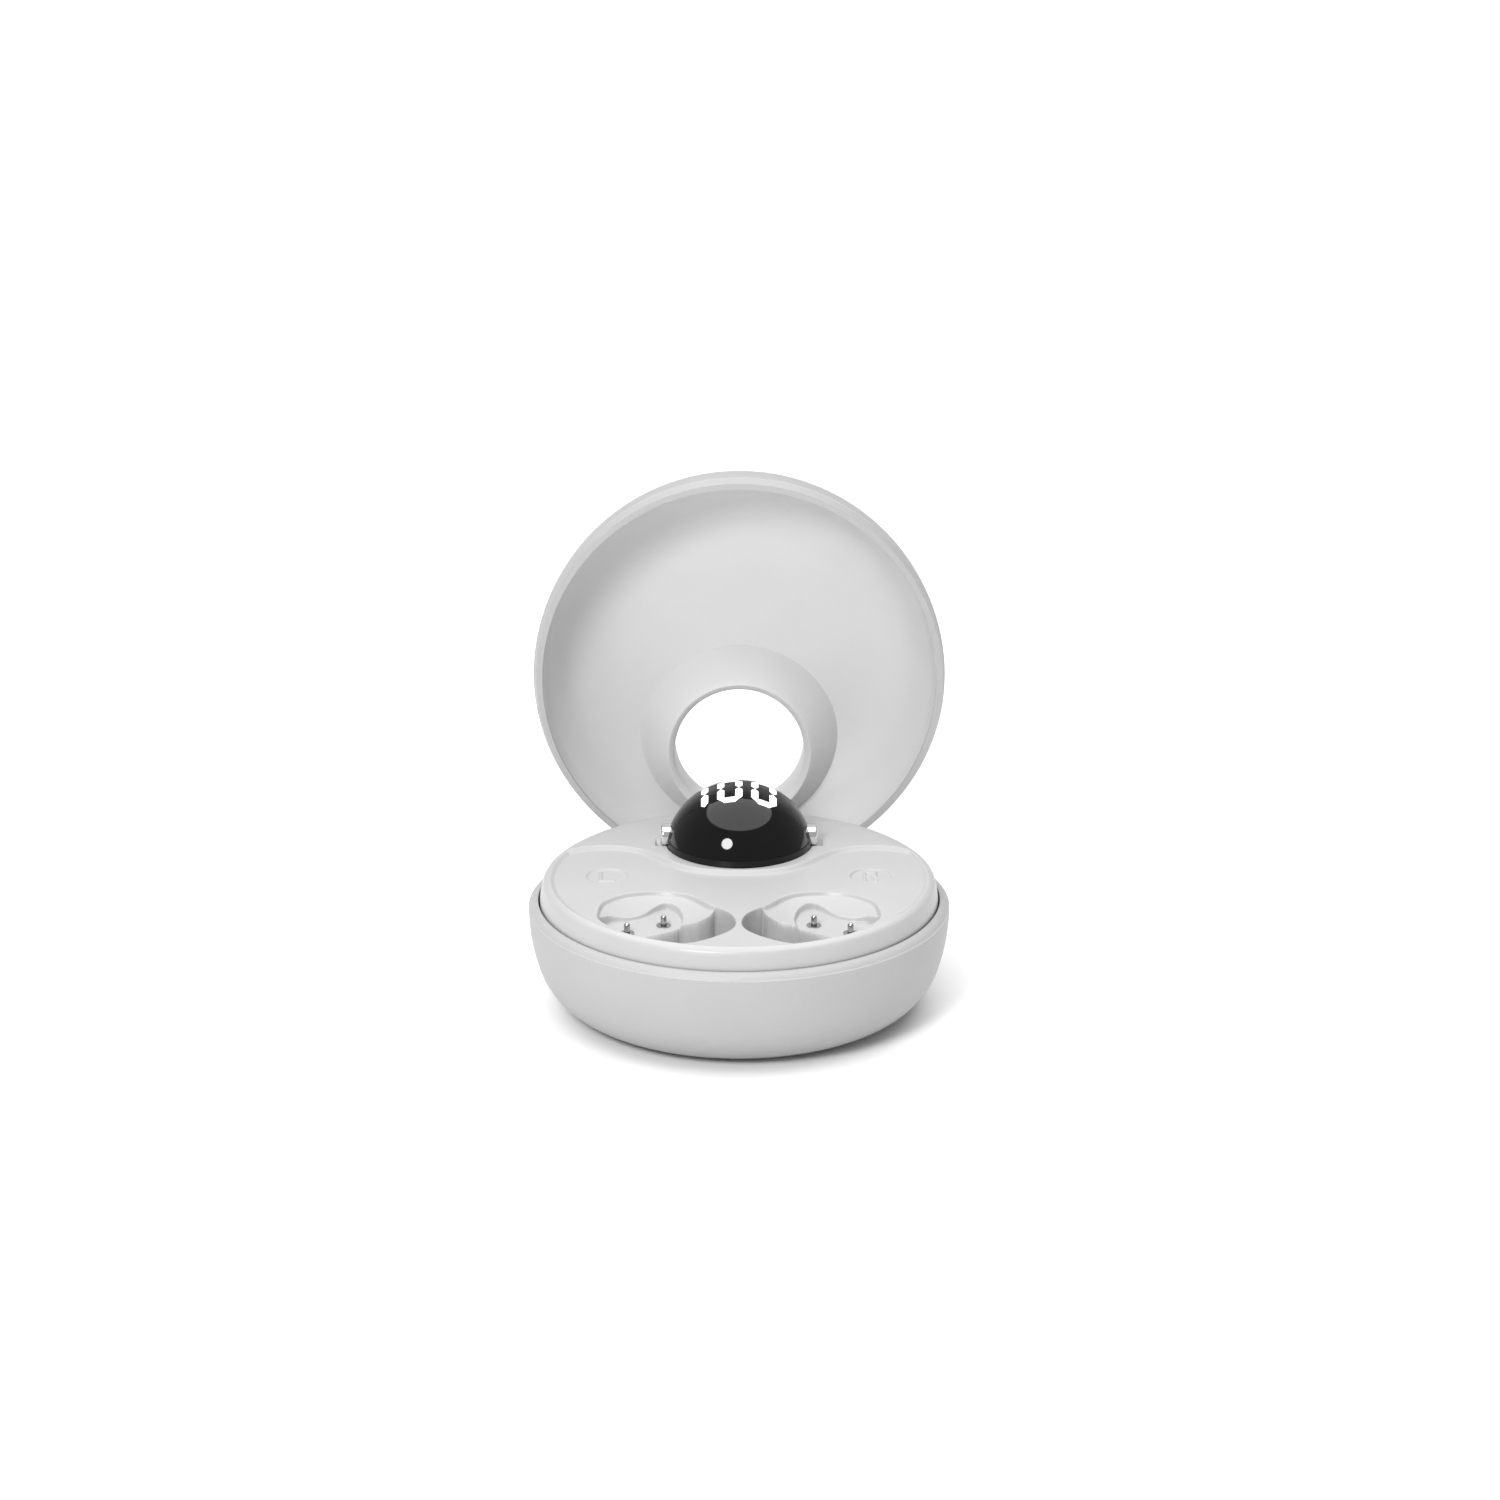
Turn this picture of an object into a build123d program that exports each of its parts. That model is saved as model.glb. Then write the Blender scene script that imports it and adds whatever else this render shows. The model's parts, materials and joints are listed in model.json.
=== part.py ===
"""Wireless earbuds charging case: round bowl base, charging tray with two earbud cavities,
black display dome, and a hinged lid whose inner collar drops over the dome.

Millimetres.  +Z up, +Y towards the hinge, origin at the centre of the flat resting face.
The lid is built closed and then swung open about the hinge pin.
"""
from build123d import *
from math import cos, sin, radians, degrees, atan2, sqrt
import os

os.makedirs("parts", exist_ok=True)

# ---------------------------------------------------------------- case body of revolution
BODY_R = 32.0            # widest radius, at the crisp crease round the base
SIDE_ARC_R = 28.0        # large arc down the side of the bowl
SIDE_ARC_A = 19.0        # angle at which the side arc hands over to the corner arc
CORNER_R = 10.2          # corner arc between the side and the flat bottom
# height of the crease above the table
CREASE_Z = (SIDE_ARC_R - CORNER_R) * sin(radians(SIDE_ARC_A)) + CORNER_R
BASE_WALL = 1.6
SEAM_R = 30.56           # top inner edge of the base shoulder
SEAM_DZ = 1.05           # the shoulder top lies this far above the crease
LEDGE_TOP_DZ = -1.5      # ledge inside the base that carries the tray skirt
LEDGE_R = 28.8

# ---------------------------------------------------------------- charging tray
TRAY_FOOT_R = 30.3
TRAY_EDGE_R = 29.75      # top edge of the raised plateau
TRAY_EDGE_DZ = 3.85
TRAY_FLAT_R = 27.6       # the rear surface is flat inside this radius
REAR_DZ = 4.66           # raised rear surface
FRONT_DZ = 3.97          # recessed front surface
RECESS_R = 28.5
PLATE_UNDER_DZ = 2.6
SKIRT_R = 28.9
CAVITY_STEP_DZ = 3.5     # small upright step round each cavity rim
BASIN_POS = (12.4, -13.8)
BASIN_R = 8.8            # the concave basin is a shallow spherical cap
BASIN_DEPTH = 1.5
BASIN_ARC_R = (BASIN_R ** 2 + BASIN_DEPTH ** 2) / (2 * BASIN_DEPTH)
PAD_DZ = 1.8             # flat pad that carries the contacts
WELL_DZ = -4.5           # floor of the deep stem well
TUB_WALL = 1.1
MARK_R = 3.15            # round recess behind each side mark
MARK_POS = (20.1, 1.54)

# ---------------------------------------------------------------- display dome
DOME_Y = 14.14
DOME_R = 11.57
DOME_CENTRE_DZ = 2.69
BEZEL_R = 11.25
BEZEL_TOP_DZ = 5.80
GLASS_T = 1.4
STUD_R = 1.78
STUD_DZ = REAR_DZ + 1.165
STUD_FACE_X = 12.07
DIGIT_H = 7.2
DIGIT_W = 3.87
STROKE = 1.08
DIGIT_Y = -1.3           # text centre, relative to the dome centre
DIGIT_DEPTH = 0.45

# ---------------------------------------------------------------- lid (closed position)
RIM_DZ = 1.35            # plane of the lid rim
RIM_IN_R = 30.6
RIM_OUT_R = 31.5
LID_TOP_DZ = 16.2
LID_SIDE_A = 12.0
LID_CORNER_R = 8.84
LID_WALL = 1.0
LID_FACE_DZ = 14.5       # flat inner face of the liner
HOLE_R = 10.14
LIP_R = 11.4
LIP_DZ = 8.0
COLLAR_BASE_R = 15.7

# ---------------------------------------------------------------- hinge
HINGE_Y = 26.7
HINGE_DZ = -0.86
OPEN_DEG = 91.9
PIN_R = 0.8
PIN_HALF = 10.2
KNUCKLE_R = 2.0
BLOCK_HALF = 7.4         # half width of the lid's hinge block
SPRING_HALF = 2.9        # half of the gap between the two knuckles
NOTCH_HALF = 14.4        # rear notch that lets the lid edge swing down
NOTCH_Y = 28.35
NOTCH_FLOOR_DZ = -7.1
POCKET_T = 1.2

# ---------------------------------------------------------------- inside
BOARD_TOP_DZ = -8.5
BOARD_T = 0.8
BOARD_R = 22.0
PORT_W = 8.94
PORT_H = 3.2
PORT_FRONT_Y = 27.4
BATTERY = (32.0, 24.0, 3.9)
BATTERY_Y = -6.0
BOSS_POS = [(19.0, -8.0), (-19.0, -8.0), (15.5, 13.0), (-15.5, 13.0)]
SCREW_R = 0.8
CONTACT_POS = [(11.28, -13.7), (16.72, -16.9)]
PLUNGER_R = 0.46
PLUNGER_TOP_DZ = 3.5
PLUNGER_TRAVEL = 0.8
BARREL_R = 0.85
FLANGE_R = 1.1
BARREL_FOOT_DZ = -1.6
MAGNET_R = 2.5
EARBUD_MAGNET_POS = (14.4, -10.4)

# cavity outlines for the left side, seen from above; the right side mirrors them in x
OPENING = [
    (-21.2, -14.2), (-20.6, -10.1), (-19.0, -7.7), (-16.9, -6.05), (-14.3, -5.2), (-12.1, -5.05),
    (-10.0, -5.35), (-7.9, -6.3), (-6.2, -8.0), (-4.9, -9.9), (-3.6, -11.6), (-2.3, -12.8), (-1.2, -14.4),
    (-0.6, -16.4), (-0.5, -18.2), (-0.9, -20.0), (-1.9, -21.7), (-3.6, -23.5), (-5.7, -25.15),
    (-7.8, -26.15), (-9.7, -26.4), (-11.8, -25.9), (-14.2, -24.3), (-16.9, -21.9), (-19.4, -19.1),
    (-20.8, -16.6),
]
PAD_REAR = [
    (-20.9, -14.6), (-19.6, -12.9), (-18.6, -12.3), (-17.0, -12.05), (-15.3, -11.2), (-14.0, -9.9),
    (-12.8, -8.3), (-11.5, -7.2), (-10.2, -7.4), (-9.15, -8.85), (-8.6, -10.9), (-8.45, -12.8),
    (-8.75, -14.75),
]
WELL_INNER = [
    (-3.7, -11.75), (-4.5, -13.3), (-5.9, -14.3), (-7.3, -14.55), (-8.75, -14.75), (-9.9, -15.95),
    (-13.9, -18.75), (-17.4, -21.3),
]
WELL = OPENING[10:23] + WELL_INNER[::-1]
# soft S-shaped edge of the recessed front area, left half, from the side to the middle
S_EDGE = [
    (-26.3, 10.95), (-24.0, 12.1), (-21.6, 12.65), (-19.4, 12.65), (-17.4, 12.2), (-15.4, 11.3),
    (-13.7, 9.85), (-12.1, 8.0), (-10.5, 6.0), (-8.9, 4.45), (-6.9, 3.15), (-4.6, 2.35), (-2.2, 2.0),
]


def up(dz):
    """Horizontal plane at a height measured from the crease."""
    return Plane.XY.offset(CREASE_Z + dz)


def side(points, s):
    """The left-hand outline for s = -1, mirrored for s = +1."""
    return [(-s * x, y) for x, y in points]


def arc_point(cx, cz, r, deg):
    return (cx + r * cos(radians(deg)), cz + r * sin(radians(deg)))


def body_profile(inset):
    """Points of the bowl's outer arcs, moved inwards by the given amount."""
    cx = BODY_R - SIDE_ARC_R
    side_r = SIDE_ARC_R - inset
    join = arc_point(cx, CREASE_Z, SIDE_ARC_R, -SIDE_ARC_A)
    ccx = join[0] - CORNER_R * cos(radians(SIDE_ARC_A))
    ccz = join[1] + CORNER_R * sin(radians(SIDE_ARC_A))
    corner_r = CORNER_R - inset
    return {
        "top": arc_point(cx, CREASE_Z, side_r, 0),
        "side_mid": arc_point(cx, CREASE_Z, side_r, -SIDE_ARC_A / 2),
        "join": arc_point(cx, CREASE_Z, side_r, -SIDE_ARC_A),
        "corner_mid": arc_point(ccx, ccz, corner_r, -(SIDE_ARC_A + 90) / 2),
        "flat": (ccx, ccz - corner_r),
    }


def lid_profile(inset):
    """Outer arcs of the lid, closed position, moved inwards by the given amount."""
    z_low = CREASE_Z + 3.6
    cx = BODY_R - SIDE_ARC_R
    side_r = SIDE_ARC_R - inset
    join = arc_point(cx, z_low, SIDE_ARC_R, LID_SIDE_A)
    ccx = join[0] - LID_CORNER_R * cos(radians(LID_SIDE_A))
    ccz = join[1] - LID_CORNER_R * sin(radians(LID_SIDE_A))
    corner_r = LID_CORNER_R - inset
    return {
        "low": arc_point(cx, z_low, side_r, 0),
        "side_mid": arc_point(cx, z_low, side_r, LID_SIDE_A / 2),
        "join": arc_point(cx, z_low, side_r, LID_SIDE_A),
        "corner_mid": arc_point(ccx, ccz, corner_r, (LID_SIDE_A + 90) / 2),
        "flat": (ccx, ccz + corner_r),
    }


HINGE = Axis((0, HINGE_Y, CREASE_Z + HINGE_DZ), (1, 0, 0))


def opened(part):
    """Swing a piece of the closed lid to the open position."""
    return part.rotate(HINGE, -OPEN_DEG)


# ================================================================ base shell
outer = body_profile(0)
inner = body_profile(BASE_WALL)
floor_z = inner["flat"][1]

with BuildPart() as base_shell:
    with BuildSketch(Plane.XZ):
        with BuildLine():
            Line((0, 0), outer["flat"])
            ThreePointArc(outer["flat"], outer["corner_mid"], outer["join"])
            ThreePointArc(outer["join"], outer["side_mid"], outer["top"])
            Line(outer["top"], (BODY_R - 0.2, CREASE_Z + 0.12))
            ThreePointArc((BODY_R - 0.2, CREASE_Z + 0.12), (31.35, CREASE_Z + 0.72),
                          (30.75, CREASE_Z + SEAM_DZ))
            Polyline((30.75, CREASE_Z + SEAM_DZ), (SEAM_R, CREASE_Z + SEAM_DZ),
                     (SEAM_R, CREASE_Z + LEDGE_TOP_DZ), (LEDGE_R, CREASE_Z + LEDGE_TOP_DZ),
                     (LEDGE_R, CREASE_Z + LEDGE_TOP_DZ - 0.8), (inner["top"][0], CREASE_Z - 4.2),
                     (inner["side_mid"][0], inner["side_mid"][1]))
            ThreePointArc(inner["side_mid"],
                          arc_point(BODY_R - SIDE_ARC_R, CREASE_Z, SIDE_ARC_R - BASE_WALL, -0.75 * SIDE_ARC_A),
                          inner["join"])
            ThreePointArc(inner["join"], inner["corner_mid"], inner["flat"])
            Polyline(inner["flat"], (0, floor_z), (0, 0))
        make_face()
    revolve(axis=Axis.Z)
    # screw bosses for the main board
    boss_top = CREASE_Z + BOARD_TOP_DZ - BOARD_T
    with BuildSketch(Plane.XY.offset(floor_z - 0.4)):
        with Locations(*BOSS_POS):
            Circle(2.0)
    extrude(amount=boss_top - floor_z + 0.4)
    with BuildSketch(Plane.XY.offset(boss_top)):
        with Locations(*BOSS_POS):
            Circle(SCREW_R)
    extrude(amount=-3.2, mode=Mode.SUBTRACT)
    # battery fence
    with BuildSketch(Plane.XY.offset(floor_z - 0.2)):
        with Locations((0, BATTERY_Y)):
            Rectangle(BATTERY[0] + 2.6, BATTERY[1] + 2.6)
            Rectangle(BATTERY[0] + 0.6, BATTERY[1] + 0.6, mode=Mode.SUBTRACT)
            Rectangle(BATTERY[0] - 8, BATTERY[1] + 4, mode=Mode.SUBTRACT)
            Rectangle(BATTERY[0] + 4, BATTERY[1] - 8, mode=Mode.SUBTRACT)
    extrude(amount=2.4)
    # pocket behind the hinge: back wall, floor and two cheeks
    with BuildSketch(up(NOTCH_FLOOR_DZ - POCKET_T)):
        with Locations((0, NOTCH_Y + 0.4)):
            Rectangle(2 * (NOTCH_HALF + POCKET_T), 2 * (POCKET_T + 0.4))
        with Locations((0, 30)):
            Rectangle(2 * (NOTCH_HALF + POCKET_T), 5)
        Circle(BODY_R - 1.2, mode=Mode.INTERSECT)
    extrude(amount=SEAM_DZ - NOTCH_FLOOR_DZ + POCKET_T)
    # hinge ears, one on each side of the lid's block
    for s in (-1, 1):
        with BuildSketch(up(-4.6)):
            with Locations((s * (BLOCK_HALF + 0.5 + 1.15), 26.1)):
                Rectangle(2.3, 3.2)
        extrude(amount=4.6 + SEAM_DZ)
    # notch for the swinging lid edge
    with BuildSketch(up(NOTCH_FLOOR_DZ)):
        with Locations((0, NOTCH_Y + 5)):
            Rectangle(2 * NOTCH_HALF, 10)
    extrude(amount=20, mode=Mode.SUBTRACT)
    # slot for the knuckles
    with BuildSketch(up(-5.4)):
        with Locations((0, NOTCH_Y - 1.6)):
            Rectangle(2 * (BLOCK_HALF + 0.4), 8)
    extrude(amount=20, mode=Mode.SUBTRACT)
    # pin holes
    with BuildSketch(Plane.YZ.offset(-PIN_HALF)):
        with Locations((HINGE_Y, CREASE_Z + HINGE_DZ)):
            Circle(PIN_R)
    extrude(amount=2 * PIN_HALF, mode=Mode.SUBTRACT)
    # opening for the charging port
    with BuildSketch(Plane.XZ.offset(-(PORT_FRONT_Y - 2.4))):
        with Locations((0, CREASE_Z + BOARD_TOP_DZ - BOARD_T - PORT_H / 2)):
            RectangleRounded(PORT_W + 0.3, PORT_H + 0.3, 1.6)
    extrude(amount=-10, mode=Mode.SUBTRACT)
base_shell.part.label = "base_shell"
export_step(base_shell.part, "parts/base_shell.step")

# ================================================================ charging tray
with BuildPart() as charging_tray:
    with BuildSketch(Plane.XZ):
        with BuildLine():
            Polyline((0, CREASE_Z + PLATE_UNDER_DZ), (0, CREASE_Z + REAR_DZ),
                     (TRAY_FLAT_R, CREASE_Z + REAR_DZ))
            ThreePointArc((TRAY_FLAT_R, CREASE_Z + REAR_DZ), (28.85, CREASE_Z + 4.43),
                          (TRAY_EDGE_R, CREASE_Z + TRAY_EDGE_DZ))
            Polyline((TRAY_EDGE_R, CREASE_Z + TRAY_EDGE_DZ), (TRAY_FOOT_R, CREASE_Z + 1.2),
                     (TRAY_FOOT_R, CREASE_Z + LEDGE_TOP_DZ), (SKIRT_R, CREASE_Z + LEDGE_TOP_DZ),
                     (SKIRT_R - 0.5, CREASE_Z + PLATE_UNDER_DZ), (0, CREASE_Z + PLATE_UNDER_DZ))
        make_face()
    revolve(axis=Axis.Z)
    for s in (-1, 1):
        # shallow tub under the basin and deep tub under the well
        with BuildSketch(up(PAD_DZ - 1.5)):
            with BuildLine():
                Polyline(*side(OPENING, s), close=True)
            make_face()
            offset(amount=TUB_WALL)
            Circle(TRAY_FOOT_R - 0.6, mode=Mode.INTERSECT)
        extrude(amount=PLATE_UNDER_DZ - PAD_DZ + 1.6)
        with BuildSketch(up(WELL_DZ - 1.0)):
            with BuildLine():
                Polyline(*side(WELL, s), close=True)
            make_face()
            offset(amount=TUB_WALL)
            Circle(LEDGE_R - 0.15, mode=Mode.INTERSECT)
        extrude(amount=PAD_DZ - WELL_DZ + 0.5)
    # retaining ring below the dome
    with BuildSketch(up(PLATE_UNDER_DZ - 1.4)):
        with Locations((0, DOME_Y)):
            Circle(BEZEL_R + 1.2)
    extrude(amount=1.7)
    # boss for the front magnet
    with BuildSketch(up(0.2)):
        with Locations((0, -26.6)):
            Circle(2.3)
        Circle(TRAY_FOOT_R - 0.6, mode=Mode.INTERSECT)
    extrude(amount=PLATE_UNDER_DZ)
    with BuildSketch(up(0.2)):
        with Locations((0, -26.4)):
            Circle(1.6)
    extrude(amount=1.6, mode=Mode.SUBTRACT)
    # recessed front area
    with BuildSketch(up(FRONT_DZ)):
        with BuildLine():
            rim_a = degrees(atan2(S_EDGE[0][1], -S_EDGE[0][0]))
            start = (-RECESS_R * cos(radians(rim_a)), RECESS_R * sin(radians(rim_a)))
            end = (-start[0], start[1])
            edge = [start] + S_EDGE[1:] + [(0, 1.9)] + side(S_EDGE[:0:-1], 1) + [end]
            Spline(*edge)
            ThreePointArc(end, (0, -RECESS_R), start)
        make_face()
    extrude(amount=3, mode=Mode.SUBTRACT)
    for s in (-1, 1):
        # upright rim step
        with BuildSketch(up(CAVITY_STEP_DZ)):
            with BuildLine():
                Spline(*side(OPENING, s), periodic=True)
            make_face()
        extrude(amount=3, mode=Mode.SUBTRACT)
        # concave basin
        basin_z = CREASE_Z + CAVITY_STEP_DZ
        half_way = BASIN_ARC_R - sqrt(BASIN_ARC_R ** 2 - (BASIN_R / 2) ** 2)
        with BuildSketch(Plane.XZ.offset(-BASIN_POS[1])):
            with BuildLine():
                Line((s * BASIN_POS[0], basin_z), (s * (BASIN_POS[0] + BASIN_R), basin_z))
                ThreePointArc((s * (BASIN_POS[0] + BASIN_R), basin_z),
                              (s * (BASIN_POS[0] + BASIN_R / 2), basin_z - BASIN_DEPTH + half_way),
                              (s * BASIN_POS[0], basin_z - BASIN_DEPTH))
                Line((s * BASIN_POS[0], basin_z - BASIN_DEPTH), (s * BASIN_POS[0], basin_z))
            make_face()
        revolve(axis=Axis((s * BASIN_POS[0], BASIN_POS[1], 0), (0, 0, 1)), mode=Mode.SUBTRACT)
        # contact pad
        with BuildSketch(up(PAD_DZ)):
            with BuildLine():
                Spline(*side(PAD_REAR, s))
                Spline(*side(WELL_INNER[4:], s))
                Polyline(side(WELL_INNER, s)[-1], side(OPENING, s)[24], side(OPENING, s)[25],
                         side(PAD_REAR, s)[0])
            make_face()
        extrude(amount=3, mode=Mode.SUBTRACT)
        # deep well, narrower below the tray skirt
        with BuildSketch(up(WELL_DZ)):
            with BuildLine():
                Polyline(*side(WELL, s), close=True)
            make_face()
            offset(amount=-0.25)
            Circle(LEDGE_R - 1.1, mode=Mode.INTERSECT)
        extrude(amount=0.6 - WELL_DZ, mode=Mode.SUBTRACT)
        with BuildSketch(up(0.6)):
            with BuildLine():
                Polyline(*side(WELL, s), close=True)
            make_face()
            offset(amount=-0.12)
        extrude(amount=FRONT_DZ, mode=Mode.SUBTRACT)
        # contact barrel bores
        with BuildSketch(up(PAD_DZ - 3)):
            with Locations(*[(s * x, y) for x, y in CONTACT_POS]):
                Circle(BARREL_R)
        extrude(amount=4, mode=Mode.SUBTRACT)
        with BuildSketch(up(PAD_DZ - 0.1)):
            with Locations(*[(s * x, y) for x, y in CONTACT_POS]):
                Circle(FLANGE_R)
        extrude(amount=0.5, mode=Mode.SUBTRACT)
        # round recess for the side mark, with the mark left standing in it
        with BuildSketch(up(FRONT_DZ - 0.15)):
            with Locations((s * MARK_POS[0], MARK_POS[1])):
                Circle(MARK_R)
            with Locations((s * MARK_POS[0] - 0.95, MARK_POS[1])):
                Rectangle(0.42, 3.9, mode=Mode.SUBTRACT)
            if s < 0:
                with Locations((s * MARK_POS[0] + 0.05, MARK_POS[1] - 1.74)):
                    Rectangle(2.4, 0.42, mode=Mode.SUBTRACT)
            else:
                for dy in (1.74, 0.1):
                    with Locations((s * MARK_POS[0] - 0.25, MARK_POS[1] + dy)):
                        Rectangle(1.4, 0.42, mode=Mode.SUBTRACT)
                with Locations((s * MARK_POS[0] + 0.65, MARK_POS[1] + 0.92)):
                    Rectangle(0.42, 1.9, mode=Mode.SUBTRACT)
                with Locations(Location((s * MARK_POS[0] + 0.3, MARK_POS[1] - 0.9), 60)):
                    Rectangle(2.3, 0.42, mode=Mode.SUBTRACT)
        extrude(amount=0.15, mode=Mode.SUBTRACT)
    # seat for the display module, open in the middle
    with BuildSketch(up(PLATE_UNDER_DZ)):
        with Locations((0, DOME_Y)):
            Circle(BEZEL_R)
    extrude(amount=10, mode=Mode.SUBTRACT)
    with BuildSketch(up(0)):
        with Locations((0, DOME_Y)):
            Circle(BEZEL_R - 1.6)
    extrude(amount=PLATE_UNDER_DZ, mode=Mode.SUBTRACT)
    # half-round saddles for the side studs
    for s in (-1, 1):
        with BuildSketch(Plane.YZ.offset(s * 11.9 - 0.95)):
            with Locations((DOME_Y, CREASE_Z + STUD_DZ)):
                Circle(STUD_R + 0.1)
        extrude(amount=1.9, mode=Mode.SUBTRACT)
    # rear: clearance for the base pocket and slot for the hinge arms
    with BuildSketch(up(LEDGE_TOP_DZ - 1)):
        with Locations((0, 31)):
            Rectangle(2 * (NOTCH_HALF + POCKET_T + 0.3), 2 * 4.25)
    extrude(amount=SEAM_DZ - LEDGE_TOP_DZ + 1.15, mode=Mode.SUBTRACT)
    with BuildSketch(up(LEDGE_TOP_DZ - 1)):
        with Locations((0, 31.6)):
            Rectangle(2 * (BLOCK_HALF + 0.4), 2 * 5.2)
    extrude(amount=12, mode=Mode.SUBTRACT)
charging_tray.part.label = "charging_tray"
export_step(charging_tray.part, "parts/charging_tray.step")

# ================================================================ display
with BuildPart() as dome_bezel:
    with BuildSketch(Plane.XZ):
        with BuildLine():
            Polyline((9.95, CREASE_Z + PLATE_UNDER_DZ), (BEZEL_R - 0.04, CREASE_Z + PLATE_UNDER_DZ),
                     (BEZEL_R - 0.04, CREASE_Z + BEZEL_TOP_DZ - 0.15), (BEZEL_R - 0.15, CREASE_Z + BEZEL_TOP_DZ),
                     (9.95, CREASE_Z + BEZEL_TOP_DZ), (9.95, CREASE_Z + PLATE_UNDER_DZ))
        make_face()
    revolve(axis=Axis.Z)
    # bores for the side studs
    with BuildSketch(Plane.YZ.offset(-14)):
        with Locations((0, CREASE_Z + STUD_DZ)):
            Circle(STUD_R)
    extrude(amount=28, mode=Mode.SUBTRACT)
dome_bezel.part = dome_bezel.part.moved(Location((0, DOME_Y, 0)))
dome_bezel.part.label = "dome_bezel"
export_step(dome_bezel.part, "parts/dome_bezel.step")


def digit_segments(names):
    """Mitred bars of a seven-segment figure, as (centre, angle, length) in figure units."""
    h = DIGIT_H / 2 - STROKE / 2
    w = DIGIT_W / 2 - STROKE / 2
    table = {"a": (0, h, 0, 2 * w), "g": (0, 0, 0, 2 * w), "d": (0, -h, 0, 2 * w),
             "b": (w, h / 2, 90, h), "c": (w, -h / 2, 90, h),
             "f": (-w, h / 2, 90, h), "e": (-w, -h / 2, 90, h)}
    return [table[n] for n in names]


# the reading one hundred: a one and two noughts, (middle of the figure, lit bars)
FIGURES = [(-6.67, "bc"), (-1.42, "abcdef"), (3.81, "abcdef")]

DIGIT_SKIN = Sphere(DOME_R) - Sphere(DOME_R - DIGIT_DEPTH)
with BuildPart() as display_digits:
    with BuildSketch(Plane.XY.offset(CREASE_Z + BEZEL_TOP_DZ)):
        for centre_x, names in FIGURES:
            for x, y, turn, length in digit_segments(names):
                half = length / 2 - 0.06
                s = STROKE / 2
                with Locations(Location((centre_x + x, DIGIT_Y + y, 0), turn)):
                    Polygon((-half, 0), (-half + s, -s), (half - s, -s), (half, 0), (half - s, s),
                            (-half + s, s), align=None)
    extrude(amount=12)
    add(Pos(0, 0, CREASE_Z + DOME_CENTRE_DZ) * DIGIT_SKIN, mode=Mode.INTERSECT)

glass_foot = (sqrt(DOME_R ** 2 - (BEZEL_TOP_DZ - DOME_CENTRE_DZ) ** 2), CREASE_Z + BEZEL_TOP_DZ)
dome_mid = arc_point(0, CREASE_Z + DOME_CENTRE_DZ, DOME_R, 50)
bore_r = DOME_R - GLASS_T
bore_foot = (8.9, CREASE_Z + DOME_CENTRE_DZ + sqrt(bore_r ** 2 - 8.9 ** 2))
with BuildPart() as display_dome:
    with BuildSketch(Plane.XZ):
        with BuildLine():
            ThreePointArc(glass_foot, dome_mid, (0, CREASE_Z + DOME_CENTRE_DZ + DOME_R))
            Line((0, CREASE_Z + DOME_CENTRE_DZ + DOME_R), (0, CREASE_Z + DOME_CENTRE_DZ + bore_r))
            ThreePointArc((0, CREASE_Z + DOME_CENTRE_DZ + bore_r),
                          arc_point(0, CREASE_Z + DOME_CENTRE_DZ, bore_r, 60), bore_foot)
            Polyline(bore_foot, (8.9, CREASE_Z + 4.4), (9.9, CREASE_Z + 4.4), (9.9, CREASE_Z + BEZEL_TOP_DZ),
                     glass_foot)
        make_face()
    revolve(axis=Axis.Z)
    add(display_digits.part, mode=Mode.SUBTRACT)
    # flats for the inner ends of the studs
    for s in (-1, 1):
        with BuildSketch(Plane.YZ.offset(s * 11.6 - 1.75)):
            with Locations((0, CREASE_Z + STUD_DZ)):
                Circle(STUD_R + 0.02)
        extrude(amount=3.5, mode=Mode.SUBTRACT)
for name, block in (("display_digits", display_digits), ("display_dome", display_dome)):
    block.part = block.part.moved(Location((0, DOME_Y, 0)))
    block.part.label = name
    export_step(block.part, "parts/" + name + ".step")

STUD_LEN = STUD_FACE_X - 9.95
for s, name in ((-1, "side_stud_left"), (1, "side_stud_right")):
    with BuildPart() as stud:
        with BuildSketch(Plane.YZ.offset(s * 9.95)):
            with Locations((DOME_Y, CREASE_Z + STUD_DZ)):
                Circle(STUD_R)
        extrude(amount=s * STUD_LEN)
        face_edge = stud.edges().filter_by(GeomType.CIRCLE).sort_by(Axis.X)
        fillet(face_edge[-1] if s > 0 else face_edge[0], radius=0.45)
    stud.part.label = name
    export_step(stud.part, "parts/" + name + ".step")

# display board with its row of light sources, on the retaining ring below the dome
with BuildPart() as display_board:
    with BuildSketch(up(PLATE_UNDER_DZ)):
        with Locations((0, DOME_Y)):
            Circle(9.9)
    extrude(amount=0.8)
display_board.part.label = "display_board"
export_step(display_board.part, "parts/display_board.step")

GUIDE_TOP_DZ = 8.6
with BuildPart() as display_light_guide:
    with BuildSketch(up(PLATE_UNDER_DZ + 1.4)):
        with Locations((0, DOME_Y + DIGIT_Y + 0.6)):
            Rectangle(13.6, 8.6)
            with GridLocations(4.6, 0, 3, 1):
                Rectangle(3.2, 6.8, mode=Mode.SUBTRACT)
    extrude(amount=GUIDE_TOP_DZ - PLATE_UNDER_DZ - 1.4)
display_light_guide.part.label = "display_light_guide"
export_step(display_light_guide.part, "parts/display_light_guide.step")

with BuildPart() as display_leds:
    with BuildSketch(up(PLATE_UNDER_DZ + 0.8)):
        with Locations((0, DOME_Y + DIGIT_Y + 0.6)):
            with GridLocations(4.6, 2.2, 3, 2):
                Rectangle(1.6, 0.8)
    extrude(amount=0.6)
display_leds.part.label = "display_leds"
export_step(display_leds.part, "parts/display_leds.step")

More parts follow.
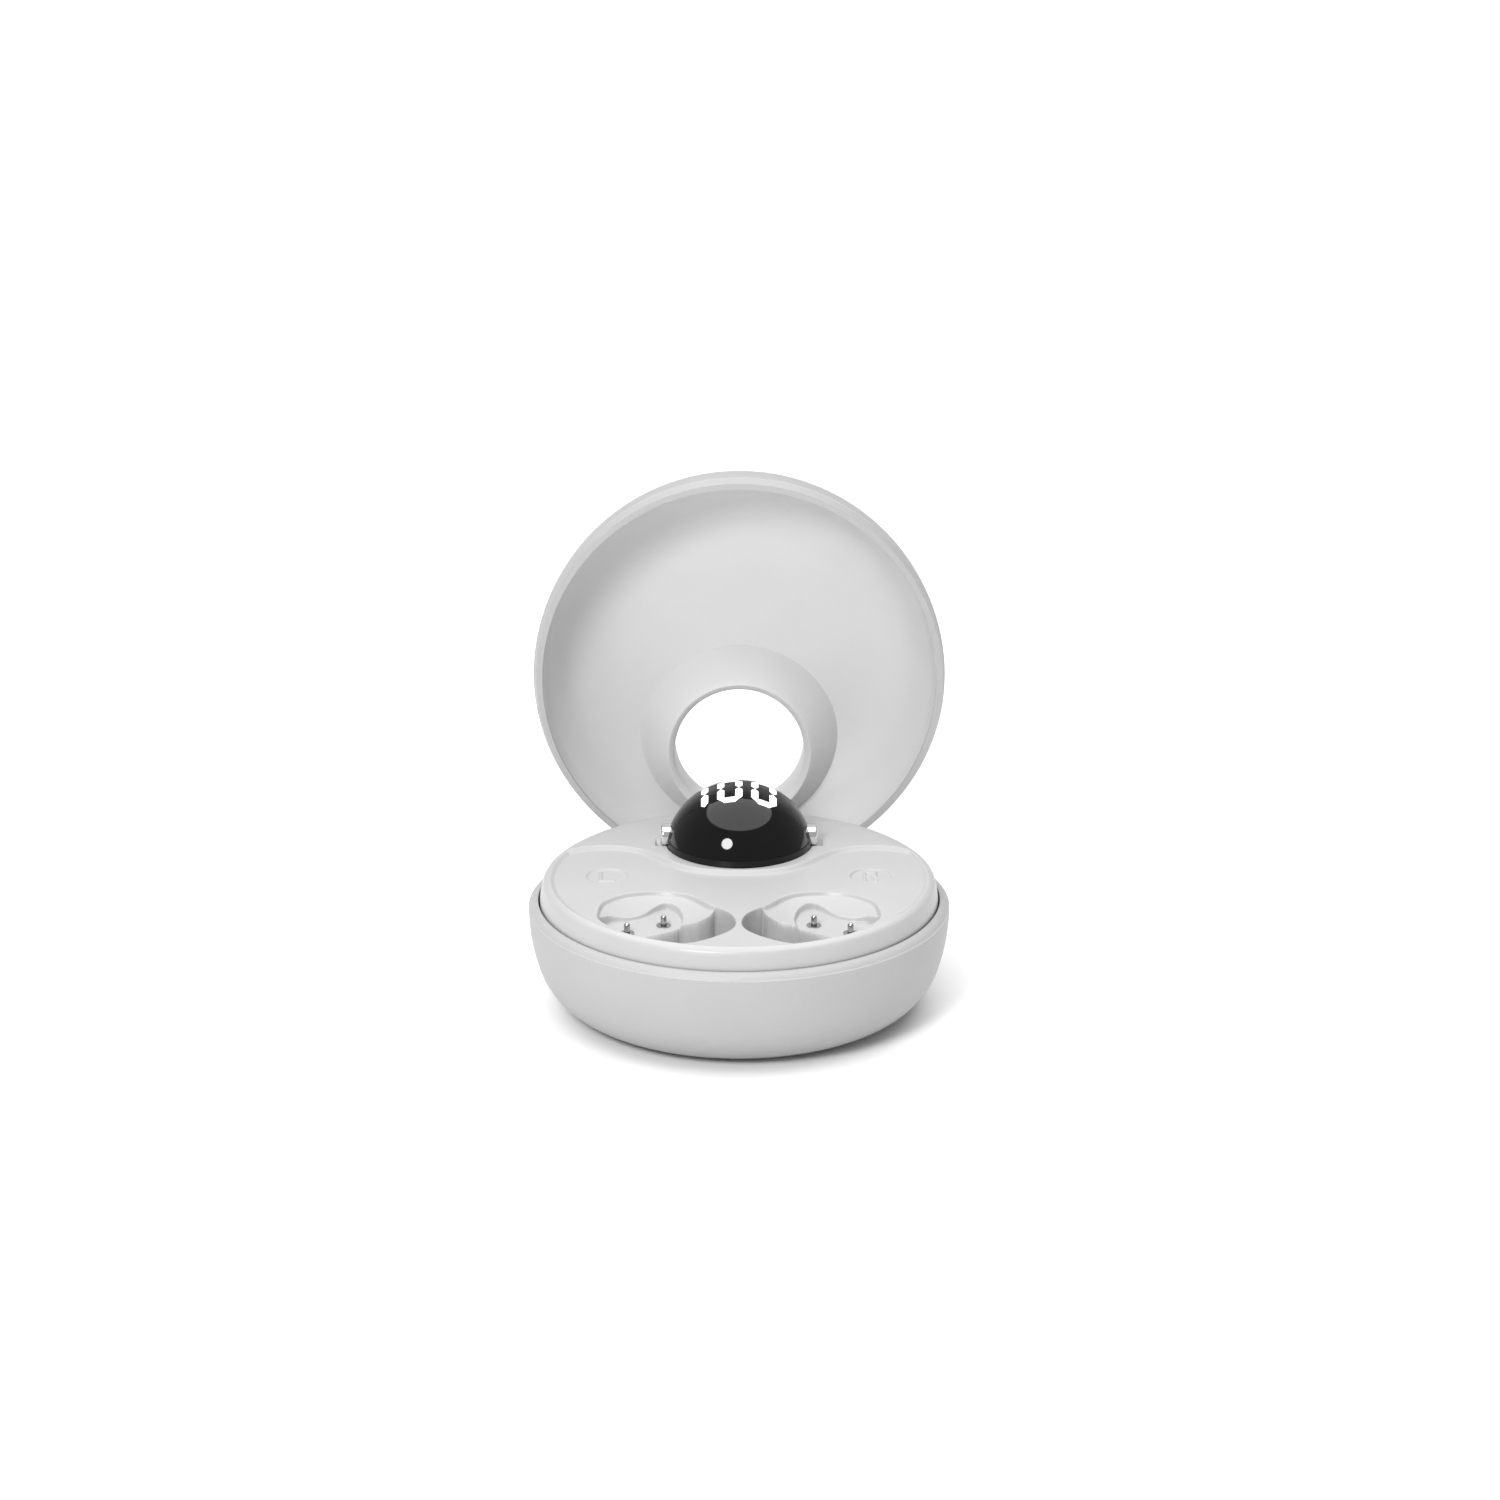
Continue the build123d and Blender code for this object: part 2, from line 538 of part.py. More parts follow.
# ================================================================ charging contacts
SIDE_NAMES = ((-1, "left"), (1, "right"))
BARREL_BORE = PLUNGER_R + 0.03
for s, hand in SIDE_NAMES:
    spots = [(s * x, y) for x, y in CONTACT_POS]
    with BuildPart() as barrels:
        with BuildSketch(up(BARREL_FOOT_DZ)):
            with Locations(*spots):
                Circle(BARREL_R)
        extrude(amount=PAD_DZ - BARREL_FOOT_DZ)
        with BuildSketch(up(PAD_DZ - 0.1)):
            with Locations(*spots):
                Circle(FLANGE_R)
        extrude(amount=0.25)
        with BuildSketch(up(BARREL_FOOT_DZ + 0.3)):
            with Locations(*spots):
                Circle(BARREL_BORE)
        extrude(amount=5, mode=Mode.SUBTRACT)
    barrels.part.label = "contact_barrels_" + hand
    export_step(barrels.part, "parts/contact_barrels_" + hand + ".step")

    with BuildPart() as contact_board:
        with BuildSketch(up(BARREL_FOOT_DZ - 0.6)):
            mid_x = s * (CONTACT_POS[0][0] + CONTACT_POS[1][0]) / 2
            mid_y = (CONTACT_POS[0][1] + CONTACT_POS[1][1]) / 2
            with Locations(Location((mid_x, mid_y, 0), -s * 30.5)):
                SlotOverall(9.4, 2.6)
        extrude(amount=0.6)
    contact_board.part.label = "contact_board_" + hand
    export_step(contact_board.part, "parts/contact_board_" + hand + ".step")

    for (x, y), place in zip(spots, ("inner", "outer")):
        with BuildPart() as plunger:
            with BuildSketch(up(0.2)):
                with Locations((x, y)):
                    Circle(PLUNGER_R)
            extrude(amount=PLUNGER_TOP_DZ - 0.2)
            tip = plunger.edges().sort_by(Axis.Z)[-1]
            fillet(tip, radius=PLUNGER_R * 0.9)
        plunger.part.label = "contact_plunger_" + hand + "_" + place
        export_step(plunger.part, "parts/" + plunger.part.label + ".step")

        coil_h = 1.3
        with BuildPart() as contact_spring:
            with BuildLine() as wire:
                Helix(pitch=0.325, height=coil_h, radius=0.33, center=(x, y, CREASE_Z + BARREL_FOOT_DZ + 0.37))
            with BuildSketch(wire.line ^ 0):
                Circle(0.06)
            sweep()
        contact_spring.part.label = "contact_spring_" + hand + "_" + place
        export_step(contact_spring.part, "parts/" + contact_spring.part.label + ".step")

    with BuildPart() as earbud_magnet:
        with BuildSketch(up(PAD_DZ - 1.5 - 2.0)):
            with Locations((s * EARBUD_MAGNET_POS[0], EARBUD_MAGNET_POS[1] + 1.6)):
                Circle(MAGNET_R)
        extrude(amount=2.0)
    earbud_magnet.part.label = "earbud_magnet_" + hand
    export_step(earbud_magnet.part, "parts/earbud_magnet_" + hand + ".step")

with BuildPart() as tray_magnet:
    with BuildSketch(up(0.2)):
        with Locations((0, -26.4)):
            Circle(1.58)
    extrude(amount=1.55)
tray_magnet.part.label = "tray_magnet"
export_step(tray_magnet.part, "parts/tray_magnet.step")

# ================================================================ electronics in the base
with BuildPart() as main_board:
    with BuildSketch(up(BOARD_TOP_DZ - BOARD_T)):
        Circle(BOARD_R)
        with Locations((0, 20)):
            Rectangle(12, 12)
        with Locations(*BOSS_POS):
            Circle(SCREW_R + 0.1, mode=Mode.SUBTRACT)
    extrude(amount=BOARD_T)
main_board.part.label = "main_board"
export_step(main_board.part, "parts/main_board.step")

CHIPS = [((-8, 4), (5, 5), 0.9), ((6, 6), (3.2, 3.2), 0.8), ((9, -3), (4, 4), 1.9), ((-10, -6), (2.4, 2.4), 0.8),
         ((2, 14), (3, 5), 0.9)]
with BuildPart() as board_chips:
    for place, size, height in CHIPS:
        with BuildSketch(up(BOARD_TOP_DZ)):
            with Locations(place):
                Rectangle(*size)
        extrude(amount=height)
board_chips.part.label = "board_chips"
export_step(board_chips.part, "parts/board_chips.step")

with BuildPart() as lid_sensor:
    with BuildSketch(up(BOARD_TOP_DZ)):
        with Locations((0, -19.5)):
            Rectangle(2.9, 1.6)
    extrude(amount=1.1)
lid_sensor.part.label = "lid_sensor"
export_step(lid_sensor.part, "parts/lid_sensor.step")

with BuildPart() as board_screws:
    for x, y in BOSS_POS:
        with BuildSketch(up(BOARD_TOP_DZ)):
            with Locations((x, y)):
                Circle(1.5)
        extrude(amount=0.8)
        with BuildSketch(up(BOARD_TOP_DZ)):
            with Locations((x, y)):
                Circle(SCREW_R - 0.05)
        extrude(amount=-3.6)
        with BuildSketch(up(BOARD_TOP_DZ + 0.8)):
            with Locations((x, y)):
                RegularPolygon(0.6, 6)
        extrude(amount=-0.5, mode=Mode.SUBTRACT)
board_screws.part.label = "board_screws"
export_step(board_screws.part, "parts/board_screws.step")

with BuildPart() as charging_port:
    port_mid = CREASE_Z + BOARD_TOP_DZ - BOARD_T - PORT_H / 2
    with BuildSketch(Plane.XZ.offset(-PORT_FRONT_Y)):
        with Locations((0, port_mid)):
            RectangleRounded(PORT_W, PORT_H, 1.3)
    extrude(amount=7.2)
    with BuildSketch(Plane.XZ.offset(-PORT_FRONT_Y)):
        with Locations((0, port_mid)):
            RectangleRounded(PORT_W - 0.6, PORT_H - 0.6, 1.1)
    extrude(amount=6.2, mode=Mode.SUBTRACT)
charging_port.part.label = "charging_port"
export_step(charging_port.part, "parts/charging_port.step")

with BuildPart() as port_tongue:
    with BuildSketch(Plane.XZ.offset(-(PORT_FRONT_Y - 0.8))):
        with Locations((0, port_mid)):
            Rectangle(6.7, 0.7)
    extrude(amount=5.4)
port_tongue.part.label = "port_tongue"
export_step(port_tongue.part, "parts/port_tongue.step")

with BuildPart() as battery:
    with BuildSketch(Plane.XY.offset(floor_z + 0.5)):
        with Locations((0, BATTERY_Y)):
            RectangleRounded(BATTERY[0], BATTERY[1], 1.6)
    extrude(amount=BATTERY[2])
    fillet(battery.edges().filter_by(Axis.Z, reverse=True).group_by(Axis.Z)[-1], radius=0.6)
battery.part.label = "battery"
export_step(battery.part, "parts/battery.step")

with BuildPart() as battery_pad:
    with BuildSketch(Plane.XY.offset(floor_z)):
        with Locations((0, BATTERY_Y)):
            Rectangle(26, 18)
    extrude(amount=0.5)
battery_pad.part.label = "battery_pad"
export_step(battery_pad.part, "parts/battery_pad.step")

# flat cable from the display board down to the main board
with BuildPart() as display_flex:
    with BuildSketch(Plane.YZ.offset(-2.5)):
        with BuildLine():
            Polyline((8.2, CREASE_Z + PLATE_UNDER_DZ - 0.15), (5.0, CREASE_Z + PLATE_UNDER_DZ - 0.15),
                     (5.0, CREASE_Z + BOARD_TOP_DZ), (1.0, CREASE_Z + BOARD_TOP_DZ),
                     (1.0, CREASE_Z + BOARD_TOP_DZ + 0.15), (4.85, CREASE_Z + BOARD_TOP_DZ + 0.15),
                     (4.85, CREASE_Z + PLATE_UNDER_DZ), (8.2, CREASE_Z + PLATE_UNDER_DZ), close=True)
        make_face()
    extrude(amount=5)
display_flex.part.label = "display_flex"
export_step(display_flex.part, "parts/display_flex.step")

# ================================================================ lid, built closed
lid_out = lid_profile(0)
lid_in = lid_profile(LID_WALL)
STEP_Z = CREASE_Z + 3.1
LINER_FLAT_R = 17.5
LINER_FOOT = (RIM_IN_R, CREASE_Z + RIM_DZ + 0.8)
SHELL_FOOT = (RIM_IN_R + 0.25, CREASE_Z + RIM_DZ + 0.8)

with BuildPart() as lid_shell:
    with BuildSketch(Plane.XZ):
        with BuildLine():
            Polyline((RIM_IN_R, CREASE_Z + RIM_DZ), (RIM_OUT_R, CREASE_Z + RIM_DZ), (31.84, STEP_Z),
                     (31.84, STEP_Z + 0.12), (31.97, STEP_Z + 0.3), lid_out["low"])
            ThreePointArc(lid_out["low"], lid_out["side_mid"], lid_out["join"])
            ThreePointArc(lid_out["join"], lid_out["corner_mid"], lid_out["flat"])
            Polyline(lid_out["flat"], (0, lid_out["flat"][1]), (0, lid_in["flat"][1]), lid_in["flat"])
            ThreePointArc(lid_in["flat"], lid_in["corner_mid"], lid_in["join"])
            ThreePointArc(lid_in["join"], lid_in["side_mid"], lid_in["low"])
            Polyline(lid_in["low"], SHELL_FOOT, LINER_FOOT, (RIM_IN_R, CREASE_Z + RIM_DZ))
        make_face()
    revolve(axis=Axis.Z)
    with BuildSketch(up(0)):
        with Locations((0, DOME_Y)):
            Circle(HOLE_R + 0.9)
    extrude(amount=30, mode=Mode.SUBTRACT)

with BuildPart() as lid_liner:
    with BuildSketch(Plane.XZ):
        with BuildLine():
            Line(LINER_FOOT, SHELL_FOOT)
            Line(SHELL_FOOT, lid_in["low"])
            ThreePointArc(lid_in["low"], lid_in["side_mid"], lid_in["join"])
            ThreePointArc(lid_in["join"], lid_in["corner_mid"], lid_in["flat"])
            Polyline(lid_in["flat"], (0, lid_in["flat"][1]), (0, CREASE_Z + LID_FACE_DZ),
                     (LINER_FLAT_R, CREASE_Z + LID_FACE_DZ))
            Spline((LINER_FLAT_R, CREASE_Z + LID_FACE_DZ), (22.6, CREASE_Z + 13.6), (26.7, CREASE_Z + 11.0),
                   (29.4, CREASE_Z + 6.6), LINER_FOOT, tangents=[(1, 0), (0.12, -1)])
        make_face()
    revolve(axis=Axis.Z)
    # conical collar round the dome hole
    with BuildSketch(Plane.XZ.offset(-DOME_Y)) as collar_half:
        with BuildLine():
            Polyline((0, CREASE_Z + LIP_DZ), (LIP_R - 0.2, CREASE_Z + LIP_DZ), (LIP_R + 0.25, CREASE_Z + LIP_DZ + 0.5),
                     (COLLAR_BASE_R, CREASE_Z + LID_FACE_DZ), (COLLAR_BASE_R, CREASE_Z + LID_FACE_DZ + 0.4),
                     (0, CREASE_Z + LID_FACE_DZ + 0.4), close=True)
        make_face()
    revolve(axis=Axis((0, DOME_Y, 0), (0, 0, 1)))
    # keep only what lies inside the shell
    with BuildSketch(Plane.XZ):
        with BuildLine():
            Line((0, CREASE_Z), (lid_in["low"][0], CREASE_Z))
            Line((lid_in["low"][0], CREASE_Z), lid_in["low"])
            ThreePointArc(lid_in["low"], lid_in["side_mid"], lid_in["join"])
            ThreePointArc(lid_in["join"], lid_in["corner_mid"], lid_in["flat"])
            Polyline(lid_in["flat"], (0, lid_in["flat"][1]), (0, CREASE_Z))
        make_face()
    revolve(axis=Axis.Z, mode=Mode.INTERSECT)
    # sleeve of the hole through the shell
    with BuildSketch(up(LID_FACE_DZ)):
        with Locations((0, DOME_Y)):
            Circle(HOLE_R + 0.88)
    extrude(amount=LID_TOP_DZ - LID_FACE_DZ - 0.35)
    # hole with a rounded lip
    with BuildSketch(Plane.XZ.offset(-DOME_Y)):
        with BuildLine():
            Polyline((0, CREASE_Z + 5), (LIP_R - 0.3, CREASE_Z + 5), (LIP_R - 0.3, CREASE_Z + LIP_DZ))
            ThreePointArc((LIP_R - 0.3, CREASE_Z + LIP_DZ), (HOLE_R + 0.3, CREASE_Z + LIP_DZ + 0.45),
                          (HOLE_R, CREASE_Z + LIP_DZ + 1.4))
            Polyline((HOLE_R, CREASE_Z + LIP_DZ + 1.4), (HOLE_R, CREASE_Z + 20), (0, CREASE_Z + 20),
                     (0, CREASE_Z + 5))
        make_face()
    revolve(axis=Axis((0, DOME_Y, 0), (0, 0, 1)), mode=Mode.SUBTRACT)
    # pocket for the sensing magnet, between liner and shell
    with BuildSketch(Plane.YZ.offset(-4.1)):
        with Locations(Location((-26.8, CREASE_Z + 12.1), -45)):
            Rectangle(1.3, 3.1)
    extrude(amount=8.2, mode=Mode.SUBTRACT)

with BuildPart() as lid_magnet:
    with BuildSketch(Plane.YZ.offset(-4.0)):
        with Locations(Location((-26.8, CREASE_Z + 12.1), -45)):
            Rectangle(1.2, 3.0)
    extrude(amount=8.0)

hinge_z = CREASE_Z + HINGE_DZ
with BuildPart() as lid_hinge_block:
    # mounting plate against the liner's rear wall
    with BuildSketch(Plane.YZ.offset(-BLOCK_HALF)):
        with BuildLine():
            Polyline((27.6, CREASE_Z + 2.6), (31.5, CREASE_Z + 2.6), (31.5, CREASE_Z + 8.2), (28.4, CREASE_Z + 8.2),
                     (27.6, CREASE_Z + 7.0), close=True)
        make_face()
    extrude(amount=2 * BLOCK_HALF)
    for x0 in (-BLOCK_HALF, SPRING_HALF):
        with BuildSketch(Plane.YZ.offset(x0)):
            with Locations((HINGE_Y, hinge_z)):
                Circle(KNUCKLE_R)
            with BuildLine():
                Polyline((HINGE_Y, hinge_z), (HINGE_Y + KNUCKLE_R, hinge_z), (29.4, CREASE_Z + 3.0),
                         (27.6, CREASE_Z + 3.0), (HINGE_Y - 0.9, hinge_z + 1.4), close=True)
            make_face()
        extrude(amount=BLOCK_HALF - SPRING_HALF)
    # follow the inside of the lid
    with BuildSketch(Plane.XZ):
        with BuildLine():
            Polyline((0, CREASE_Z - 4), (29.9, CREASE_Z - 4), (29.9, CREASE_Z + 1.2), (30.3, LINER_FOOT[1]))
            Spline((30.3, LINER_FOOT[1]), (29.15, CREASE_Z + 6.6), (26.5, CREASE_Z + 10.9))
            Polyline((26.5, CREASE_Z + 10.9), (0, CREASE_Z + 10.9), (0, CREASE_Z - 4))
        make_face()
    revolve(axis=Axis.Z, mode=Mode.INTERSECT)
    with BuildSketch(Plane.YZ.offset(-BLOCK_HALF)):
        with Locations((HINGE_Y, hinge_z)):
            Circle(PIN_R + 0.05)
    extrude(amount=2 * BLOCK_HALF, mode=Mode.SUBTRACT)

LID_PIECES = {"lid_shell": lid_shell, "lid_liner": lid_liner, "lid_magnet": lid_magnet,
              "lid_hinge_block": lid_hinge_block}
for name, block in LID_PIECES.items():
    block.part = opened(block.part)
    block.part.label = name
    export_step(block.part, "parts/" + name + ".step")

# ================================================================ hinge pin and spring
with BuildPart() as hinge_pin:
    with BuildSketch(Plane.YZ.offset(-PIN_HALF)):
        with Locations((HINGE_Y, hinge_z)):
            Circle(PIN_R)
    extrude(amount=2 * PIN_HALF)
hinge_pin.part.label = "hinge_pin"
export_step(hinge_pin.part, "parts/hinge_pin.step")

with BuildPart() as hinge_spring:
    with BuildLine() as coil:
        Helix(pitch=0.75, height=4.8, radius=1.25, center=(-2.4, HINGE_Y, hinge_z), direction=(1, 0, 0))
    with BuildSketch(coil.line ^ 0):
        Circle(0.22)
    sweep()
hinge_spring.part.label = "hinge_spring"
export_step(hinge_spring.part, "parts/hinge_spring.step")
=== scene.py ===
"""Wireless earbuds case: finishes, tray surface, studio and camera round the CAD frame."""
import json
import math

import bmesh
import bpy
import numpy as np
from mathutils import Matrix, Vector


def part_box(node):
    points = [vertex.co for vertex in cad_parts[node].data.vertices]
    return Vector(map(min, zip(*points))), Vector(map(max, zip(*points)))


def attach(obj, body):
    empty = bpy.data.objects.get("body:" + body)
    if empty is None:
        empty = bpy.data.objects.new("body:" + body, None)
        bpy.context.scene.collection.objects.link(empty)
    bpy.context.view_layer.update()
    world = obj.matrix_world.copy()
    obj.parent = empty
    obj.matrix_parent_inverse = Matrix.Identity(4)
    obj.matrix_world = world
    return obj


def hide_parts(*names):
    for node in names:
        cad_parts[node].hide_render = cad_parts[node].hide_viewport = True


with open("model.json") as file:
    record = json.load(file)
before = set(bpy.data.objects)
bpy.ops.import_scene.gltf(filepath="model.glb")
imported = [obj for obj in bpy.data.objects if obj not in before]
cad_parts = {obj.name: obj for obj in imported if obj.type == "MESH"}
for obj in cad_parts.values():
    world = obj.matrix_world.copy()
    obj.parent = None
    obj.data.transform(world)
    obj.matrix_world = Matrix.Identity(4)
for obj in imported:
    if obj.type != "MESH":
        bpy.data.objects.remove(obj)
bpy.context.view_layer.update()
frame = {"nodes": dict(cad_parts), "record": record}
NODES = frame["nodes"]
MM = 0.001


# ---------------------------------------------------------------- materials
TONE_SCALE, TONE_DETAIL = 90.0, 3.0     # noise that varies tone and roughness
TONE_FROM, TONE_TO = 0.3, 0.7           # the part of the noise that the tones span
ROUGH_SWING = 0.03
GRAIN_SCALE, FOAM_SCALE, GRAIN_DETAIL = 4000.0, 1500.0, 1.0
GRAIN_HEIGHT = 0.06 * MM


def add_grain(tree, bsdf, where, strength, scale):
    """Fine bump over the whole surface."""
    fine = tree.nodes.new("ShaderNodeTexNoise")
    fine.inputs["Scale"].default_value = scale
    fine.inputs["Detail"].default_value = GRAIN_DETAIL
    tree.links.new(where.outputs["Object"], fine.inputs["Vector"])
    bump = tree.nodes.new("ShaderNodeBump")
    bump.inputs["Strength"].default_value = strength
    bump.inputs["Distance"].default_value = GRAIN_HEIGHT
    tree.links.new(fine.outputs["Fac"], bump.inputs["Height"])
    tree.links.new(bump.outputs["Normal"], bsdf.inputs["Normal"])


def material(name, colour, rough, metal=0.0, grain=0.0, grain_scale=GRAIN_SCALE, tint=0.04,
             emit=0.0, spec=0.5):
    """Principled surface whose tone and roughness vary a little over the object."""
    made = bpy.data.materials.new(name)
    made.use_nodes = True
    tree = made.node_tree
    bsdf = tree.nodes["Principled BSDF"]
    where = tree.nodes.new("ShaderNodeTexCoord")
    noise = tree.nodes.new("ShaderNodeTexNoise")
    noise.inputs["Scale"].default_value = TONE_SCALE
    noise.inputs["Detail"].default_value = TONE_DETAIL
    tree.links.new(where.outputs["Object"], noise.inputs["Vector"])
    ramp = tree.nodes.new("ShaderNodeValToRGB")
    stops = zip(ramp.color_ramp.elements, (TONE_FROM, TONE_TO), (1.0 - tint, 1.0 + tint))
    for stop, position, factor in stops:
        stop.position = position
        stop.color = (*(min(1.0, c * factor) for c in colour), 1)
    tree.links.new(noise.outputs["Fac"], ramp.inputs["Fac"])
    tree.links.new(ramp.outputs["Color"], bsdf.inputs["Base Color"])
    bsdf.inputs["Metallic"].default_value = metal
    bsdf.inputs["Specular IOR Level"].default_value = spec
    span = tree.nodes.new("ShaderNodeMapRange")
    span.inputs["To Min"].default_value = max(0.0, rough - ROUGH_SWING)
    span.inputs["To Max"].default_value = min(1.0, rough + ROUGH_SWING)
    tree.links.new(noise.outputs["Fac"], span.inputs["Value"])
    tree.links.new(span.outputs["Result"], bsdf.inputs["Roughness"])
    if grain:
        add_grain(tree, bsdf, where, grain, grain_scale)
    if emit:
        tree.links.new(ramp.outputs["Color"], bsdf.inputs["Emission Color"])
        bsdf.inputs["Emission Strength"].default_value = emit
    return made


def grey(tone):
    return (tone, tone, tone)


# The shell, the tray and the lid's liner are one light grey plastic, given here in lit and
# shaded copies: the shell's grey is darkened as painted shade on the case's sides, the tray's
# lighter grey is painted light on its top, and the liner's still lighter grey is painted light
# on the lid's inner face.
SHELL_SHADED = material("shell_grain_painted_shade", grey(0.37), 0.5, grain=0.55, tint=0.015)
LINER_PAINTED_LIGHT = material("liner_grain_painted_light", grey(0.55), 0.5, grain=0.35, tint=0.015)
TRAY_PAINTED_LIGHT = material("tray_satin_painted_light", grey(0.41), 0.36, grain=0.2, tint=0.015)
BY_SLOT = {
    "shell_plastic": SHELL_SHADED,
    "hinge_plastic": SHELL_SHADED,
    "tray_plastic": TRAY_PAINTED_LIGHT,
    "black_gloss": material("black_gloss", (0.002, 0.002, 0.0025), 0.05, tint=0.2, spec=0.35),
    "lit_white": material("lit_white", (0.9, 0.9, 0.92), 0.4, emit=0.6, tint=0.02),
    "chrome": material("chrome", (0.82, 0.82, 0.83), 0.08, metal=1.0, tint=0.03),
    "contact_metal": material("contact_metal", (0.42, 0.42, 0.43), 0.12, metal=1.0, tint=0.05),
    "board_green": material("board_green", (0.03, 0.16, 0.07), 0.35, tint=0.15),
    "white_plastic": material("white_plastic", (0.8, 0.8, 0.78), 0.45, tint=0.03),
    "battery_foil": material("battery_foil", (0.62, 0.62, 0.64), 0.3, metal=0.8, tint=0.08),
    "foam": material("foam", grey(0.06), 0.9, grain=0.8, grain_scale=FOAM_SCALE, tint=0.2),
    "chip_black": material("chip_black", (0.02, 0.02, 0.022), 0.5, tint=0.2),
    "screw_steel": material("machined_steel", (0.55, 0.55, 0.56), 0.28, metal=1.0, tint=0.06),
    "spring_steel": material("spring_wire", grey(0.5), 0.22, metal=1.0, tint=0.05),
    "flex_amber": material("flex_amber", (0.45, 0.22, 0.05), 0.25, tint=0.1),
    "magnet_nickel": material("nickel", (0.66, 0.64, 0.6), 0.2, metal=1.0, tint=0.04),
}
SLOT_OF = {s["node"]: s["material_slot"] for s in frame["record"]["subparts"]}
SHARP_ANGLE = math.radians(28)


def shade_smooth(mesh):
    for poly in mesh.polygons:
        poly.use_smooth = True


def mark_sharp_edges(mesh):
    """Flag the edges where the shading breaks: open ones, and those past SHARP_ANGLE."""
    work = bmesh.new()
    work.from_mesh(mesh)
    sharp = [len(e.link_faces) != 2 or e.calc_face_angle(math.pi) > SHARP_ANGLE
             for e in work.edges]
    work.free()
    for edge, is_sharp in zip(mesh.edges, sharp):
        edge.use_edge_sharp = is_sharp


# The CAD meshes get finishes and shading flags only. No vertex or face is changed.
for node, obj in NODES.items():
    # The lid's liner takes the lighter copy of the shell plastic: painted light on the lid's
    # inner face.
    finish = LINER_PAINTED_LIGHT if node == "lid_liner" else BY_SLOT[SLOT_OF[node]]
    if not obj.material_slots:
        obj.data.materials.append(finish)
    for holder in obj.material_slots:
        holder.material = finish
    shade_smooth(obj.data)
    mark_sharp_edges(obj.data)

# ---------------------------------------------------------------- charging tray surface
# The tray is drawn as one fine surface in rings round the base's axis, open below. It repeats
# the CAD tray's dimensions, with softened edges and deeper side marks. Lengths are millimetres,
# and heights are above the crease, the base's widest line.
SIDE_ARC_R, CORNER_R, SIDE_ARC_ANGLE = 28.0, 10.2, math.radians(19.0)
CREASE_HEIGHT = (SIDE_ARC_R - CORNER_R) * math.sin(SIDE_ARC_ANGLE) + CORNER_R
REAR_Z, FRONT_Z = 4.66, 3.97            # plateau, and the recess in front of the S-curve
RIM_PROFILE = [(0, REAR_Z), (27.6, REAR_Z), (28.2, 4.6), (28.8, 4.42), (29.2, 4.25),
               (29.5, 4.05), (29.68, 3.88)]
PAD_Z, WELL_Z, STEP_Z = 1.8, -4.5, 3.45
DOME_Y, BEZEL_R, BEZEL_FIT, BEZEL_SEAT_Z = 14.14, 11.25, 0.02, 2.55
STUD_X, STUD_HALF, STUD_R, STUD_Z = 11.9, 0.95, 1.88, REAR_Z + 1.165
BASIN_X, BASIN_Y, BASIN_R, BASIN_DEPTH = 12.4, -13.8, 8.8, 1.5
BASIN_ARC = (BASIN_R ** 2 + BASIN_DEPTH ** 2) / (2 * BASIN_DEPTH)
MARK_X, MARK_Y, MARK_R, MARK_DEPTH = 20.1, 1.54, 3.15, 0.25
LETTER_H, STROKE = 3.9, 0.42
SLOT_HALF, SLOT_FRONT_Y, SLOT_R, SLOT_Z = 7.8, 26.4, 29.7, -1.5    # slot for the hinge
RECESS_R, RECESS_FROM, RECESS_TO, RECESS_STEPS = 28.5, 22.5, -202.5, 121    # degrees
CAVITY_BOX = (-24.0, 1.5, -29.0, -3.0)  # x and y limits of the left cavity
# Each softened edge runs from the first distance to the second; negative is inside the outline.
RECESS_EDGE, OPENING_EDGE, PAD_EDGE = (0.45, -0.55), (0.16, -0.3), (0.12, -0.12)
WELL_EDGE, DISC_EDGE, LETTER_EDGE = (0.02, -0.25), (0.06, -0.1), (-0.05, 0.06)
PAD_INSIDE = -0.1                       # the pad starts this far inside the opening

# Outlines of the left cavity and the S-curve, seen from above. The right side mirrors them.
OPENING = [
    (-21.2, -14.2), (-20.6, -10.1), (-19.0, -7.7), (-16.9, -6.05), (-14.3, -5.2),
    (-12.1, -5.05), (-10.0, -5.35), (-7.9, -6.3), (-6.2, -8.0), (-4.9, -9.9), (-3.6, -11.6),
    (-2.3, -12.8), (-1.2, -14.4), (-0.6, -16.4), (-0.5, -18.2), (-0.9, -20.0), (-1.9, -21.7),
    (-3.6, -23.5), (-5.7, -25.15), (-7.8, -26.15), (-9.7, -26.4), (-11.8, -25.9),
    (-14.2, -24.3), (-16.9, -21.9), (-19.4, -19.1), (-20.8, -16.6),
]
WELL_OUTER = OPENING[10:23]             # the well shares this stretch of the opening
PAD_REAR = [
    (-20.9, -14.6), (-19.6, -12.9), (-18.6, -12.3), (-17.0, -12.05), (-15.3, -11.2),
    (-14.0, -9.9), (-12.8, -8.3), (-11.5, -7.2), (-10.2, -7.4), (-9.15, -8.85),
    (-8.6, -10.9), (-8.45, -12.8), (-8.75, -14.75),
]
PAD_FRONT = [(-19.5, -19.0), (-20.9, -16.6)]
WELL_INNER = [
    (-3.7, -11.75), (-4.5, -13.3), (-5.9, -14.3), (-7.3, -14.55), (-8.75, -14.75),
    (-9.9, -15.95), (-13.9, -18.75), (-17.4, -21.3),
]
WELL_PAD_LINE = WELL_INNER[4:]          # the pad meets the well along this stretch
S_EDGE = [
    (-26.3, 10.95), (-24.0, 12.1), (-21.6, 12.65), (-19.4, 12.65), (-17.4, 12.2),
    (-15.4, 11.3), (-13.7, 9.85), (-12.1, 8.0), (-10.5, 6.0), (-8.9, 4.45), (-6.9, 3.15),
    (-4.6, 2.35), (-2.2, 2.0),
]
